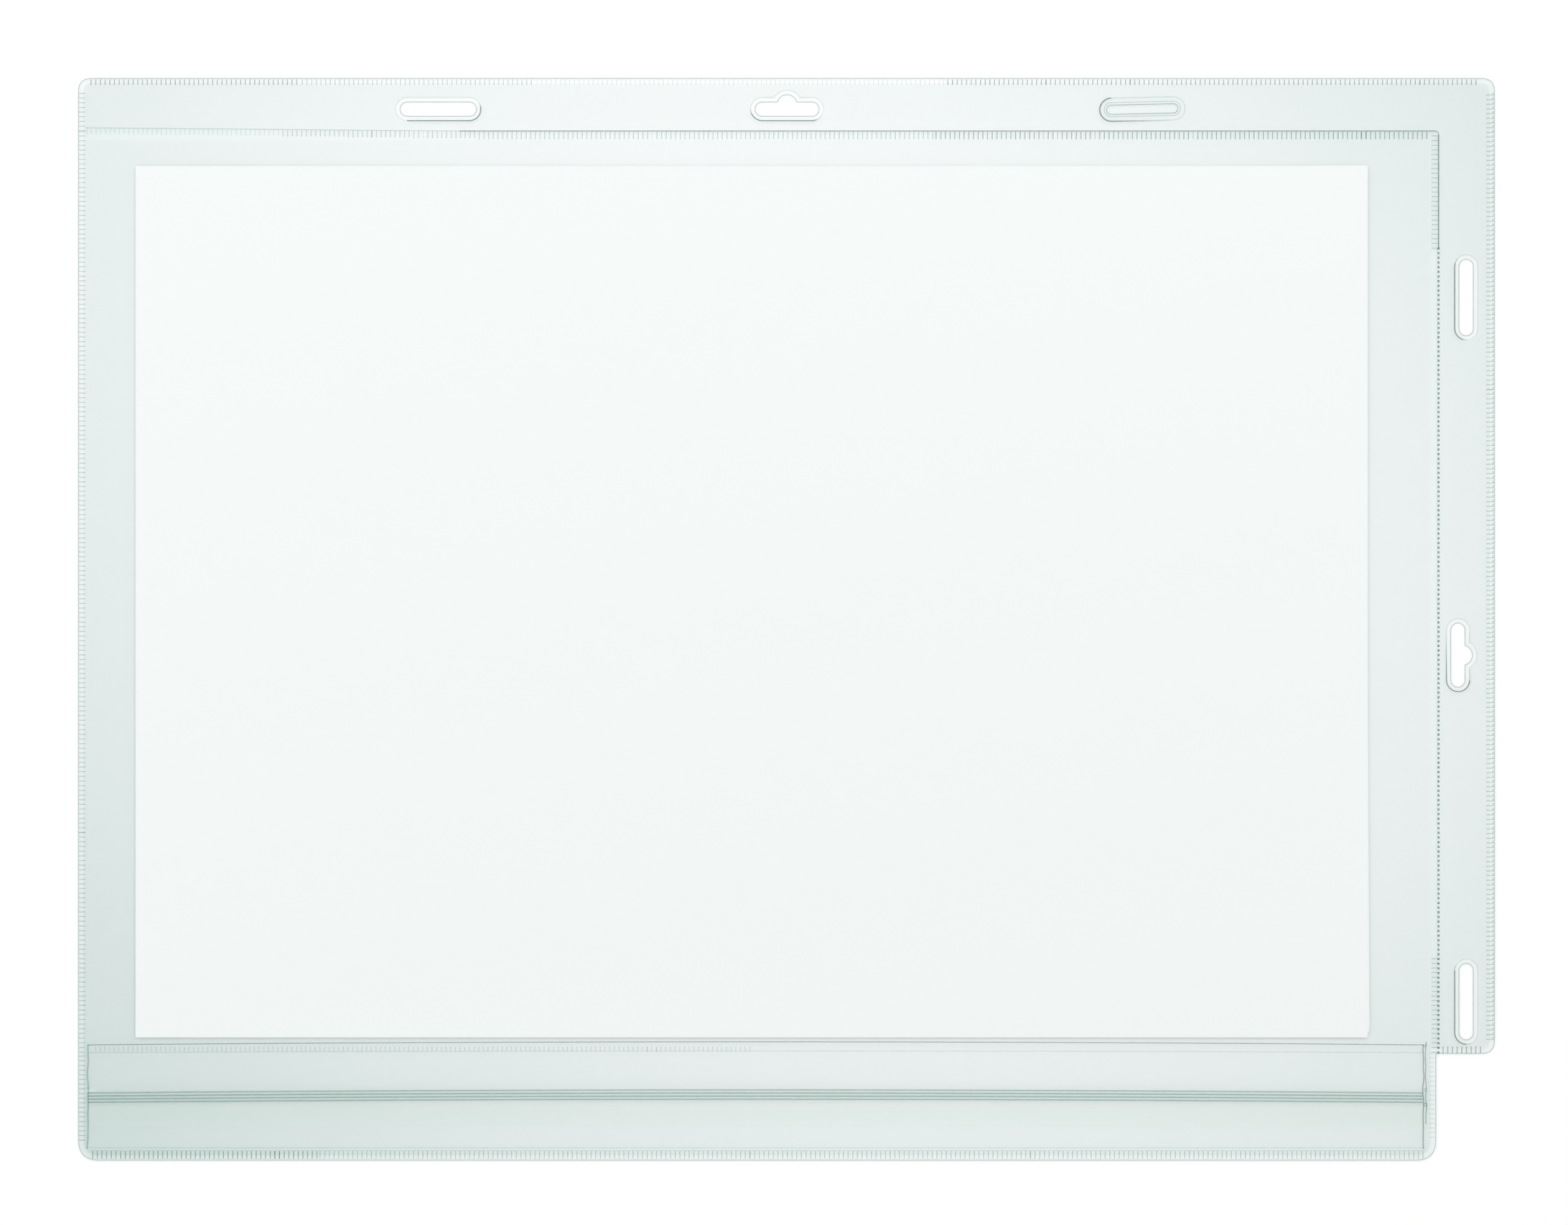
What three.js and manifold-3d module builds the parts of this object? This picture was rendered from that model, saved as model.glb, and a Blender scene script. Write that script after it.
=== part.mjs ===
// Waterproof document pocket for ISO A3 sheets: clear soft PVC film, welded at its edges, with a hanging
// flange along the top and the right side and a press-seal closure across the foot of its front.
// It lies on its back: +X runs to the right, +Y to the top of the pocket and +Z out of its front face.
// The origin is under the middle of the overall rectangle, on the surface that it lies on. Millimetres.
import * as THREE from "three";
import { mergeVertices } from "three/addons/utils/BufferGeometryUtils.js";
import Module from "manifold-3d";

// Materials
const FILM = 0.25; // film thickness
const WELD_FILM = 0.125; // a film's thickness where the welding bar has pressed it
const PAPER = 0.125; // thickness of an inserted sheet

// Inserted sheets and the room round them
const SHEET_WIDTH = 420;
const SHEET_HEIGHT = 297;
const SHEET_LEFT = 19.6; // from the pocket's left edge to the sheet
const SHEET_RIGHT = 24.4; // from the sheet to the front sheet's right edge
const SHEET_FOOT = 5; // from the front sheet's lower edge to the sheet
const SHEET_HEAD = 12; // from the sheet to the front sheet's top edge
const BACK_SHEET_NARROWER = 1; // how much narrower the sheet behind is
const BACK_SHEET_SHORTER = 1.7; // how much shorter the sheet behind is
const BACK_SHEET_TURN = 0.25; // degrees
const BACK_SHEET_SHIFT = 0.45; // to the right of the front sheet's middle
const BACK_SHEET_RAISE = 0.1; // above the front sheet's middle

// Overall outline
const CLOSURE_HEIGHT = 37; // from the bottom edge to the front sheet's lower edge
const FLANGE_TOP = 18; // width of the hanging flange above the front sheet
const FLANGE_SIDE = 19; // width of the hanging flange beside the front sheet
const FLANGE_DROP = 0.6; // how far the side flange reaches below the front sheet's lower edge
const FOOT_INSET = 1; // how much narrower the foot is than the front sheet
const FLANGE_CORNER = 4.5; // corner radius of the flange
const FOOT_CORNER = 7; // corner radius of the foot
const FRONT_CORNER = 1.5; // radius of the front sheet's free corner
const CUT_GAP = 0.4; // cut between the front sheet and the flange facing
const CORNER_STEPS = 6; // straight steps in a quarter turn

// Welded seams
const EDGE_WELD = 2.4; // along the flange's outer edges
const LEFT_WELD = 2.6; // along the left edge
const FRONT_WELD = 2.8; // along the front sheet's top and right edges
const FOOT_WELD = 3.3; // along the bottom edge
const SEAL_END_WELD = 3.4; // where the closure's two strips are pressed flat at their ends
const RISE = 8; // run over which the front sheet lifts from its seam to the level of the paper
const CAVITY_STEP = 1.5; // run over which the front sheet thins into its seam

// Hanging slots
const SLOT_LENGTH = 25.8;
const SLOT_WIDTH = 4.6;
const SLOT_PITCH = 240; // between the two plain slots on a side
const EURO_LENGTH = 21.6; // slot with a round notch in its middle, for a display hook
const NOTCH_RADIUS = 3.3; // of that round notch
const NOTCH_RISE = 2.5; // how far that notch stands beyond the slot
const RING = 1.6; // width of the pressed ring round each slot
const TOP_SLOT_INSET = 10.6; // from the top edge to the slots' centre line
const SIDE_SLOT_INSET = 9.8; // from the right edge to the plain slots' centre line
const SIDE_EURO_INSET = 12.6; // from the right edge to the notched slot's centre line
const TOP_SLOTS_X = 1.3; // from the overall middle to midway between the top row's plain slots
const TOP_EURO_X = 0.2; // from the overall middle to the top row's notched slot
const TOP_SLOT_TILT = 1.3; // degrees, of the top row's unpunched slot
const SIDE_SLOTS_Y = -10.3; // from the overall middle to midway between the side row's plain slots
const SIDE_EURO_Y = -12.2; // from the overall middle to the side row's notched slot
const SLOT_STEPS = 10; // straight steps in a slot's half-round end

// Press-seal closure
const STRIP_OVERLAP = 3; // how far the upper strip lies over the front sheet
const LIP_EDGE = 11.4; // from the bottom edge to the upper strip's free lip
const LOWER_STRIP_EDGE = 25.7; // from the bottom edge to the lower strip's free edge
const SEAL_CENTRE = 22.2; // from the bottom edge to the middle of the ribs
const RIB_PITCH = 1.06; // from a rib of one strip to its neighbour on the other
const RIB_STEM = 0.3; // width of a rib's stem
const RIB_HEAD = 0.25; // thickness of a rib's head
const SEAL_GAP = 0.12; // clearance inside the closed seal
const STRIP_FALL = 4; // run over which the upper strip comes down on either side of the ribs

// Derived places, measured from the overall rectangle's middle
const FRONT_WIDTH = SHEET_LEFT + SHEET_WIDTH + SHEET_RIGHT;
const FRONT_HEIGHT = SHEET_FOOT + SHEET_HEIGHT + SHEET_HEAD;
const WIDTH = FRONT_WIDTH + FLANGE_SIDE;
const HEIGHT = CLOSURE_HEIGHT + FRONT_HEIGHT + FLANGE_TOP;
const LEFT = -WIDTH / 2;
const RIGHT = WIDTH / 2;
const TOP = HEIGHT / 2;
const BOTTOM = -HEIGHT / 2;
const FRONT_RIGHT = LEFT + FRONT_WIDTH;
const FRONT_LOW = BOTTOM + CLOSURE_HEIGHT;
const FRONT_TOP = FRONT_LOW + FRONT_HEIGHT;
const FOOT_RIGHT = FRONT_RIGHT - FOOT_INSET;
const NOTCH_TOP = FRONT_LOW - FLANGE_DROP;

// Levels above the surface that the pocket lies on
const BACK_TOP = FILM;
const PAPER_TOP = BACK_TOP + 2 * PAPER;
const FRONT_FACE = PAPER_TOP + FILM;
const WELD_TOP = BACK_TOP + WELD_FILM;
const STRIP_TOP = BACK_TOP + FILM; // top of the lower strip and of the flange facing

const wasm = await Module();
wasm.setup();

// A closed three.js geometry as a solid
function solidFrom(geometry) {
  const bare = geometry.clone();
  bare.deleteAttribute("normal");
  bare.deleteAttribute("uv");
  const merged = mergeVertices(bare, 1e-5);
  return new wasm.Manifold(
    new wasm.Mesh({
      numProp: 3,
      vertProperties: new Float32Array(merged.attributes.position.array),
      triVerts: new Uint32Array(merged.index.array),
    }),
  );
}

function geometryFrom(solid) {
  const mesh = solid.getMesh();
  const geometry = new THREE.BufferGeometry();
  geometry.setAttribute(
    "position",
    new THREE.BufferAttribute(new Float32Array(mesh.vertProperties), 3),
  );
  geometry.setIndex(new THREE.BufferAttribute(new Uint32Array(mesh.triVerts), 1));
  geometry.computeVertexNormals();
  return geometry;
}

// A flat outline raised from one level to another
function plate(shape, low, high) {
  const geometry = new THREE.ExtrudeGeometry(shape, {
    depth: high - low,
    bevelEnabled: false,
    curveSegments: CORNER_STEPS,
  });
  geometry.translate(0, 0, low);
  return solidFrom(geometry);
}

// A closed outline through corners given as [x, y, radius]
function roundedShape(corners) {
  const shape = new THREE.Shape();
  corners.forEach(([x, y, radius], i) => {
    const here = new THREE.Vector2(x, y);
    const before = new THREE.Vector2(...corners.at(i - 1));
    const after = new THREE.Vector2(...corners[(i + 1) % corners.length]);
    const entry = here.clone().add(before.sub(here).setLength(radius));
    const leave = here.clone().add(after.sub(here).setLength(radius));
    if (i === 0) shape.moveTo(entry.x, entry.y);
    else shape.lineTo(entry.x, entry.y);
    if (radius > 0) shape.quadraticCurveTo(x, y, leave.x, leave.y);
  });
  shape.closePath();
  return shape;
}

function rectangle(x0, y0, x1, y1) {
  return roundedShape([
    [x0, y0, 0],
    [x1, y0, 0],
    [x1, y1, 0],
    [x0, y1, 0],
  ]);
}

// A block whose lower and upper faces are two rectangles, [x0, y0, x1, y1]
function taperedBlock(lower, upper, low, high) {
  const geometry = new THREE.BoxGeometry(1, 1, 1);
  const place = geometry.attributes.position;
  for (let i = 0; i < place.count; i++) {
    const face = place.getZ(i) > 0 ? upper : lower;
    place.setXYZ(
      i,
      place.getX(i) > 0 ? face[2] : face[0],
      place.getY(i) > 0 ? face[3] : face[1],
      place.getZ(i) > 0 ? high : low,
    );
  }
  return solidFrom(geometry);
}

// A section in Y and Z, as [y, z] points, run along X from x0 to x1
function strip(section, x0, x1) {
  const shape = new THREE.Shape(section.map(([y, z]) => new THREE.Vector2(y, z)));
  const geometry = new THREE.ExtrudeGeometry(shape, { depth: x1 - x0, bevelEnabled: false });
  const acrossY = new THREE.Vector3(0, 1, 0);
  const upZ = new THREE.Vector3(0, 0, 1);
  const alongX = new THREE.Vector3(1, 0, 0);
  geometry.applyMatrix4(new THREE.Matrix4().makeBasis(acrossY, upZ, alongX));
  geometry.translate(x0, 0, 0);
  return solidFrom(geometry);
}

// The outline of a plain slot round its own middle, grown by a margin
function slotShape(length, margin) {
  const radius = SLOT_WIDTH / 2 + margin;
  const reach = length / 2 - SLOT_WIDTH / 2;
  const shape = new THREE.Shape();
  shape.absarc(reach, 0, radius, -Math.PI / 2, Math.PI / 2, false);
  shape.absarc(-reach, 0, radius, Math.PI / 2, (3 * Math.PI) / 2, false);
  shape.closePath();
  return shape;
}

// The same with a round notch in the middle of its upper side
function euroShape(margin) {
  const radius = SLOT_WIDTH / 2 + margin;
  const reach = EURO_LENGTH / 2 - SLOT_WIDTH / 2;
  const notch = NOTCH_RADIUS + margin;
  const notchMiddle = SLOT_WIDTH / 2 + NOTCH_RISE - NOTCH_RADIUS;
  const shoulder = Math.asin((radius - notchMiddle) / notch);
  const shape = new THREE.Shape();
  shape.absarc(reach, 0, radius, -Math.PI / 2, Math.PI / 2, false);
  shape.absarc(0, notchMiddle, notch, shoulder, Math.PI - shoulder, false);
  shape.absarc(-reach, 0, radius, Math.PI / 2, (3 * Math.PI) / 2, false);
  shape.closePath();
  return shape;
}

// The hanging slots: where each lies, how it is turned, and whether the back film is punched too
const TOP_ROW = TOP - TOP_SLOT_INSET;
const SIDE_COLUMN = RIGHT - SIDE_SLOT_INSET;
const SLOTS = [
  { x: TOP_SLOTS_X - SLOT_PITCH / 2, y: TOP_ROW, turn: 0, euro: false, through: true },
  { x: TOP_EURO_X, y: TOP_ROW, turn: 0, euro: true, through: true },
  { x: TOP_SLOTS_X + SLOT_PITCH / 2, y: TOP_ROW, turn: TOP_SLOT_TILT, euro: false, through: false },
  { x: SIDE_COLUMN, y: SIDE_SLOTS_Y + SLOT_PITCH / 2, turn: -90, euro: false, through: true },
  { x: RIGHT - SIDE_EURO_INSET, y: SIDE_EURO_Y, turn: -90, euro: true, through: true },
  { x: SIDE_COLUMN, y: SIDE_SLOTS_Y - SLOT_PITCH / 2, turn: -90, euro: false, through: true },
];

// The solid that punches a slot, or presses its ring, between two levels
function punch(slot, margin, low, high) {
  const shape = slot.euro ? euroShape(margin) : slotShape(SLOT_LENGTH, margin);
  const geometry = new THREE.ExtrudeGeometry(shape, {
    depth: high - low,
    bevelEnabled: false,
    curveSegments: SLOT_STEPS,
  });
  geometry.rotateZ(THREE.MathUtils.degToRad(slot.turn));
  geometry.translate(slot.x, slot.y, low);
  return solidFrom(geometry);
}

// The whole outline: a rectangle with rounded corners, less the notch below the side flange
function backShape() {
  return roundedShape([
    [LEFT, BOTTOM, FOOT_CORNER],
    [FOOT_RIGHT, BOTTOM, FOOT_CORNER],
    [FOOT_RIGHT, NOTCH_TOP, 0],
    [RIGHT, NOTCH_TOP, FLANGE_CORNER],
    [RIGHT, TOP, FLANGE_CORNER],
    [LEFT, TOP, FLANGE_CORNER],
  ]);
}

// The film behind everything, with the slots punched through it
function backSheet() {
  let solid = plate(backShape(), 0, BACK_TOP);
  for (const slot of SLOTS) {
    if (slot.through) solid = solid.subtract(punch(slot, 0, -FILM, 2 * FILM));
  }
  return solid;
}

// The second film of the flange: pressed thin at its outer edges and in a ring round each slot
function flangeFacing() {
  const innerX = FRONT_RIGHT + CUT_GAP;
  const innerY = FRONT_TOP + CUT_GAP;
  const seam = roundedShape([
    [LEFT, innerY, 0],
    [innerX, innerY, 0],
    [innerX, NOTCH_TOP, 0],
    [RIGHT, NOTCH_TOP, FLANGE_CORNER],
    [RIGHT, TOP, FLANGE_CORNER],
    [LEFT, TOP, FLANGE_CORNER],
  ]);
  const face = roundedShape([
    [LEFT + LEFT_WELD, innerY, 0],
    [innerX, innerY, 0],
    [innerX, NOTCH_TOP + EDGE_WELD, 0],
    [RIGHT - EDGE_WELD, NOTCH_TOP + EDGE_WELD, 0],
    [RIGHT - EDGE_WELD, TOP - EDGE_WELD, 0],
    [LEFT + LEFT_WELD, TOP - EDGE_WELD, 0],
  ]);
  let solid = plate(seam, BACK_TOP, WELD_TOP).add(plate(face, BACK_TOP, STRIP_TOP));
  for (const slot of SLOTS) {
    solid = solid.subtract(punch(slot, RING, WELD_TOP, 2 * STRIP_TOP));
    solid = solid.subtract(punch(slot, 0, 0, 2 * STRIP_TOP));
  }
  return solid;
}

// The film over the paper: flat in its seams, lifted over the paper, and open along its lower edge
function frontSheet() {
  const outline = roundedShape([
    [LEFT, FRONT_LOW, 0],
    [FRONT_RIGHT, FRONT_LOW, 0],
    [FRONT_RIGHT, FRONT_TOP, FRONT_CORNER],
    [LEFT, FRONT_TOP, 0],
  ]);
  const seamX0 = LEFT + LEFT_WELD;
  const seamX1 = FRONT_RIGHT - FRONT_WELD;
  const seamY1 = FRONT_TOP - FRONT_WELD;
  const raised = taperedBlock(
    [seamX0, FRONT_LOW, seamX1, seamY1],
    [seamX0 + RISE, FRONT_LOW, seamX1 - RISE, seamY1 - RISE],
    BACK_TOP,
    FRONT_FACE,
  );
  const below = FRONT_LOW - CLOSURE_HEIGHT;
  const cavity = taperedBlock(
    [seamX0 + CAVITY_STEP, below, seamX1 - CAVITY_STEP, seamY1 - CAVITY_STEP],
    [seamX0 + RISE, below, seamX1 - RISE, seamY1 - RISE],
    BACK_TOP,
    PAPER_TOP,
  );
  return plate(outline, BACK_TOP, WELD_TOP).add(raised).subtract(cavity);
}

const SEAL_Y = BOTTOM + SEAL_CENTRE;
const RIB_REACH = RIB_PITCH - RIB_STEM / 2 - SEAL_GAP; // half the width of a rib's head
const LOWER_HEAD = STRIP_TOP + 2 * SEAL_GAP + RIB_HEAD; // underside of the lower strip's heads
const UPPER_HEAD = STRIP_TOP + SEAL_GAP; // underside of the upper strip's heads
const UPPER_FACE = LOWER_HEAD + RIB_HEAD + SEAL_GAP; // underside of the upper strip over the ribs
const SEAL_X0 = LEFT + SEAL_END_WELD;
const SEAL_X1 = FOOT_RIGHT - SEAL_END_WELD;
const RIB_SINK = WELD_FILM / 2; // how deep a rib's stem runs into its own strip

// One rib with a flat head: a stem between two levels and a head that starts at the given level
function rib(offset, stemLow, stemHigh, headLow) {
  const middle = SEAL_Y + offset * RIB_PITCH;
  const half = RIB_STEM / 2;
  const stem = taperedBlock(
    [SEAL_X0, middle - half, SEAL_X1, middle + half],
    [SEAL_X0, middle - half, SEAL_X1, middle + half],
    stemLow,
    stemHigh,
  );
  const head = taperedBlock(
    [SEAL_X0, middle - RIB_REACH, SEAL_X1, middle + RIB_REACH],
    [SEAL_X0, middle - RIB_REACH, SEAL_X1, middle + RIB_REACH],
    headLow,
    headLow + RIB_HEAD,
  );
  return stem.add(head);
}

// The strip welded to the back film: pressed thin at the bottom edge and both ends
function lowerSealStrip() {
  const freeEdge = BOTTOM + LOWER_STRIP_EDGE;
  const outline = roundedShape([
    [LEFT, BOTTOM, FOOT_CORNER],
    [FOOT_RIGHT, BOTTOM, FOOT_CORNER],
    [FOOT_RIGHT, freeEdge, 0],
    [LEFT, freeEdge, 0],
  ]);
  const body = plate(
    rectangle(SEAL_X0, BOTTOM + FOOT_WELD, SEAL_X1, freeEdge),
    BACK_TOP,
    STRIP_TOP,
  );
  const stemLow = STRIP_TOP - RIB_SINK;
  const stemHigh = LOWER_HEAD + RIB_SINK;
  return plate(outline, BACK_TOP, WELD_TOP)
    .add(body)
    .add(rib(-1.5, stemLow, stemHigh, LOWER_HEAD))
    .add(rib(0.5, stemLow, stemHigh, LOWER_HEAD));
}

// The strip that carries the outer lip: it lies on the front sheet, arches over the ribs and comes
// down on the lower strip, and its ends are walled off and pressed flat in the side seams
function upperSealStrip() {
  const lip = BOTTOM + LIP_EDGE;
  const upperEdge = FRONT_LOW + STRIP_OVERLAP;
  const ribZone = 2 * RIB_PITCH + RIB_REACH;
  const ribLow = SEAL_Y - ribZone;
  const ribHigh = SEAL_Y + ribZone;
  const underside = [
    [lip, STRIP_TOP],
    [ribLow - STRIP_FALL, STRIP_TOP],
    [ribLow, UPPER_FACE],
    [ribHigh, UPPER_FACE],
    [ribHigh + STRIP_FALL, FRONT_FACE],
    [upperEdge, FRONT_FACE],
  ];
  const topside = underside.map(([y, z]) => [y, z + FILM]).reverse();
  const stemLow = UPPER_HEAD + RIB_SINK;
  const stemHigh = UPPER_FACE + RIB_SINK;
  let solid = strip([...underside, ...topside], SEAL_X0, SEAL_X1)
    .add(rib(-0.5, stemLow, stemHigh, UPPER_HEAD))
    .add(rib(1.5, stemLow, stemHigh, UPPER_HEAD));
  const tabTop = WELD_TOP + WELD_FILM;
  const wall = [[lip, tabTop], [upperEdge, tabTop], ...topside];
  const lowerEdge = BOTTOM + LOWER_STRIP_EDGE + SEAL_GAP;
  const frontEdge = FRONT_LOW - SEAL_GAP;
  for (const [x0, x1, wall0, wall1] of [
    [LEFT, SEAL_X0, SEAL_X0 - FILM, SEAL_X0],
    [SEAL_X1, FOOT_RIGHT, SEAL_X1, SEAL_X1 + FILM],
  ]) {
    solid = solid
      .add(strip(wall, wall0, wall1))
      .add(plate(rectangle(x0, lip, x1, upperEdge), WELD_TOP, tabTop))
      .add(plate(rectangle(x0, lowerEdge, x1, frontEdge), BACK_TOP, tabTop));
  }
  return solid;
}

// A sheet of paper that lies in the pocket
function paperSheet(width, height) {
  const geometry = new THREE.BoxGeometry(width, height, PAPER);
  return geometry.translate(0, 0, PAPER / 2);
}

const clearFilm = { color: 0xe3ecea, roughness: 0.25, metalness: 0, transparent: true, opacity: 0.35 };
const sealFilm = { color: 0xc4d4d1, roughness: 0.25, metalness: 0, transparent: true, opacity: 0.5 };
const whitePaper = { color: 0xf8faf9, roughness: 0.8, metalness: 0 };

function part(name, geometry, finish) {
  const mesh = new THREE.Mesh(geometry, new THREE.MeshStandardMaterial(finish));
  mesh.name = name;
  return mesh;
}

const pocket = new THREE.Group();
pocket.add(part("back_sheet", geometryFrom(backSheet()), clearFilm));
pocket.add(part("flange_facing", geometryFrom(flangeFacing()), clearFilm));
pocket.add(part("front_sheet", geometryFrom(frontSheet()), clearFilm));
pocket.add(part("lower_seal_strip", geometryFrom(lowerSealStrip()), sealFilm));
pocket.add(part("upper_seal_strip", geometryFrom(upperSealStrip()), sealFilm));

const sheets = new THREE.Group();
sheets.position.set(
  LEFT + SHEET_LEFT + SHEET_WIDTH / 2,
  FRONT_LOW + SHEET_FOOT + SHEET_HEIGHT / 2,
  BACK_TOP,
);
const behindWidth = SHEET_WIDTH - BACK_SHEET_NARROWER;
const behindHeight = SHEET_HEIGHT - BACK_SHEET_SHORTER;
const sheetBehind = part("insert_sheet_back", paperSheet(behindWidth, behindHeight), whitePaper);
sheetBehind.position.set(BACK_SHEET_SHIFT, BACK_SHEET_RAISE, 0);
sheetBehind.rotation.z = THREE.MathUtils.degToRad(BACK_SHEET_TURN);
sheets.add(sheetBehind);
const sheetInFront = part("insert_sheet_front", paperSheet(SHEET_WIDTH, SHEET_HEIGHT), whitePaper);
sheetInFront.position.set(0, 0, PAPER);
sheets.add(sheetInFront);
pocket.add(sheets);

export default pocket;
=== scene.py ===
# %% [markdown]
# # A waterproof document pocket
#
# The pocket is made of soft clear film, welded at its edges, with blank paper inside. It lies on a
# pale floor and the camera looks straight down, as in the photograph. The CAD model gives every
# size. This script lays out the films again with the details that give clear film its look: rounded
# cut edges, pressed rings, the ribs of the press seal and the fine ladder lines of the welds.

import math

import bmesh
import bpy
from mathutils import Matrix, Vector, noise


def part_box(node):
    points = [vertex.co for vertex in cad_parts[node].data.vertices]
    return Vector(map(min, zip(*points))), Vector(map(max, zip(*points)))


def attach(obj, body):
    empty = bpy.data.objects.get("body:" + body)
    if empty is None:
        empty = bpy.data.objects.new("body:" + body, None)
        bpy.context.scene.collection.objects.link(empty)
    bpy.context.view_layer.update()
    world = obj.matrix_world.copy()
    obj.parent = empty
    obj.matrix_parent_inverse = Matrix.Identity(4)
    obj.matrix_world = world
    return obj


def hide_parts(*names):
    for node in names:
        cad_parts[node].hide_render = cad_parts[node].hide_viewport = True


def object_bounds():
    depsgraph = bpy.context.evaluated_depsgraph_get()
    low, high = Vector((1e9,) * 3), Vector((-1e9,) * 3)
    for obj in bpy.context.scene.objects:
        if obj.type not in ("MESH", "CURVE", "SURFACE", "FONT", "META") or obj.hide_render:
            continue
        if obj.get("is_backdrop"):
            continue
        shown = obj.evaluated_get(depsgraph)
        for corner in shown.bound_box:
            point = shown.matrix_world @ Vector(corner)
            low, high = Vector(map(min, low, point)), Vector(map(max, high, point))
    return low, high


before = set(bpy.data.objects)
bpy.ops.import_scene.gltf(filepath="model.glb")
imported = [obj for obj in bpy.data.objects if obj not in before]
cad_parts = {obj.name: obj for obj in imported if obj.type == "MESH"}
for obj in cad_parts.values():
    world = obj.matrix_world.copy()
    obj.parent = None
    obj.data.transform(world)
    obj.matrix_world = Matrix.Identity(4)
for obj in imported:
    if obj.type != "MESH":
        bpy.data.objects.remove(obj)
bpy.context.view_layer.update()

# %% [markdown]
# Film is measured in millimetres and Blender counts metres, so one constant turns one into the
# other. The main places are read from the CAD nodes, so that the pieces here follow the CAD model.

# %% Places read from the CAD model
MM = 0.001


def box_mm(node):
    low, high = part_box(node)
    return [v / MM for v in low], [v / MM for v in high]


(LEFT, BOTTOM, _), (RIGHT, TOP, _) = box_mm("back_sheet")
(_, FRONT_LOW, _), (FRONT_RIGHT, FRONT_TOP, _) = box_mm("front_sheet")
(_, NOTCH_TOP, _), _ = box_mm("flange_facing")
_, (FOOT_RIGHT, LOWER_EDGE, _) = box_mm("lower_seal_strip")
(_, LIP, _), (_, UPPER_EDGE, SEAL_TOP) = box_mm("upper_seal_strip")
_, (_, _, PAPER_TOP) = box_mm("insert_sheet_front")
print("front sheet right and top:", round(FRONT_RIGHT, 2), round(FRONT_TOP, 2))
print("seal lip, upper edge and top:", round(LIP, 2), round(UPPER_EDGE, 2), round(SEAL_TOP, 2))

# %% [markdown]
# Colours are written as sRGB hex values, as a colour picker shows them. Shaders work with linear
# light, so one function turns each value to linear. A second one adds a node with its settings. Its
# inputs are given by place, as sockets to link or as plain values, or by name.

# %% Colours and nodes
def linear(hex_colour):
    channels = [int(hex_colour[i : i + 2], 16) / 255 for i in (1, 3, 5)]
    return [c / 12.92 if c <= 0.04045 else ((c + 0.055) / 1.055) ** 2.4 for c in channels] + [1.0]


def add_node(tree, kind, settings=None, inputs=(), **links):
    node = tree.nodes.new(kind)
    for key, value in (settings or {}).items():
        if hasattr(node, key):
            setattr(node, key, value)
        else:
            node.inputs[key].default_value = value
    for place, source in enumerate(inputs):
        if isinstance(source, bpy.types.NodeSocket):
            tree.links.new(source, node.inputs[place])
        else:
            node.inputs[place].default_value = source
    for key, source in links.items():
        tree.links.new(source, node.inputs[key.replace("_", " ")])
    return node


def new_material(name):
    material = bpy.data.materials.new(name)
    material.use_nodes = True
    material.node_tree.nodes.clear()
    return material, material.node_tree


# %% [markdown]
# The clear film is taken to be calendered soft PVC, a usual stock for such pockets. Light passes
# straight through it, and a few per cent is mirrored at each face, more at a low angle. A Glass
# shader would bend the light in sheets only 0.25 mm thick, where no bend can be seen, and would shut
# the lamps out, so a Transparent shader lets the light pass and a Glossy shader carries the mirror.
# The Fresnel node would take the inner face for a mirror at low angles, as it isn't told that the
# light was bent, so the mirror's share is Schlick's rule on Layer Weight: 4.4 % head on for an IOR of
# 1.53, and rising. Two values here are matched to the tones of the photograph and not worked out from
# a cause. The lower strip of the seal is brighter there than full mirrors make it, so it has a smaller
# share, and the lip is darker, so it has a faint tint. The lip is no thicker than the rest.

# %% Clear film
PVC_IOR = 1.53
HEAD_ON = ((PVC_IOR - 1) / (PVC_IOR + 1)) ** 2  # the share that is mirrored head on
SCHLICK_POWER = 5.0
LOWER_MIRROR = 0.45  # the part of the mirror that the lower strip keeps, matched by its tone


def film_surface(tree, clear, roughness, loose=None, mirror_share=1.0):
    mirror = add_node(tree, "ShaderNodeBsdfGlossy", {"Color": linear("#FFFFFF"), "Roughness": roughness})
    facing = add_node(tree, "ShaderNodeLayerWeight", {"Blend": 0.5}).outputs["Facing"]
    steep = add_node(tree, "ShaderNodeMath", {"operation": "POWER"}, [facing, SCHLICK_POWER])
    share = add_node(
        tree,
        "ShaderNodeMath",
        {"operation": "MULTIPLY_ADD"},
        [steep.outputs[0], mirror_share * (1 - HEAD_ON), mirror_share * HEAD_ON],
    )
    if loose:  # no mirror where the film is melted to its neighbour
        kept = [share.outputs[0], loose.outputs[0]]
        share = add_node(tree, "ShaderNodeMath", {"operation": "MULTIPLY"}, kept)
    mix = add_node(tree, "ShaderNodeMixShader", {}, [share.outputs[0], clear.outputs[0], mirror.outputs[0]])
    add_node(tree, "ShaderNodeOutputMaterial", Surface=mix.outputs[0])


def film_material(name, tint, roughness, mirror_share=1.0):
    material, tree = new_material(name)
    clear = add_node(tree, "ShaderNodeBsdfTransparent", {"Color": linear(tint)})
    film_surface(tree, clear, roughness, mirror_share=mirror_share)
    return material


front_film_finish = film_material("clear_soft_PVC_calendered", "#FFFFFF", 0.12)
strip_film_finish = film_material("clear_soft_PVC_extruded_strip", "#FFFFFF", 0.16)
lower_strip_finish = film_material("clear_soft_PVC_lower_strip", "#FFFFFF", 0.16, LOWER_MIRROR)
lip_finish = film_material("clear_soft_PVC_seal_lip", "#FEFFFE", 0.16)
print("film materials:", front_film_finish.name, strip_film_finish.name, lip_finish.name)

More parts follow.
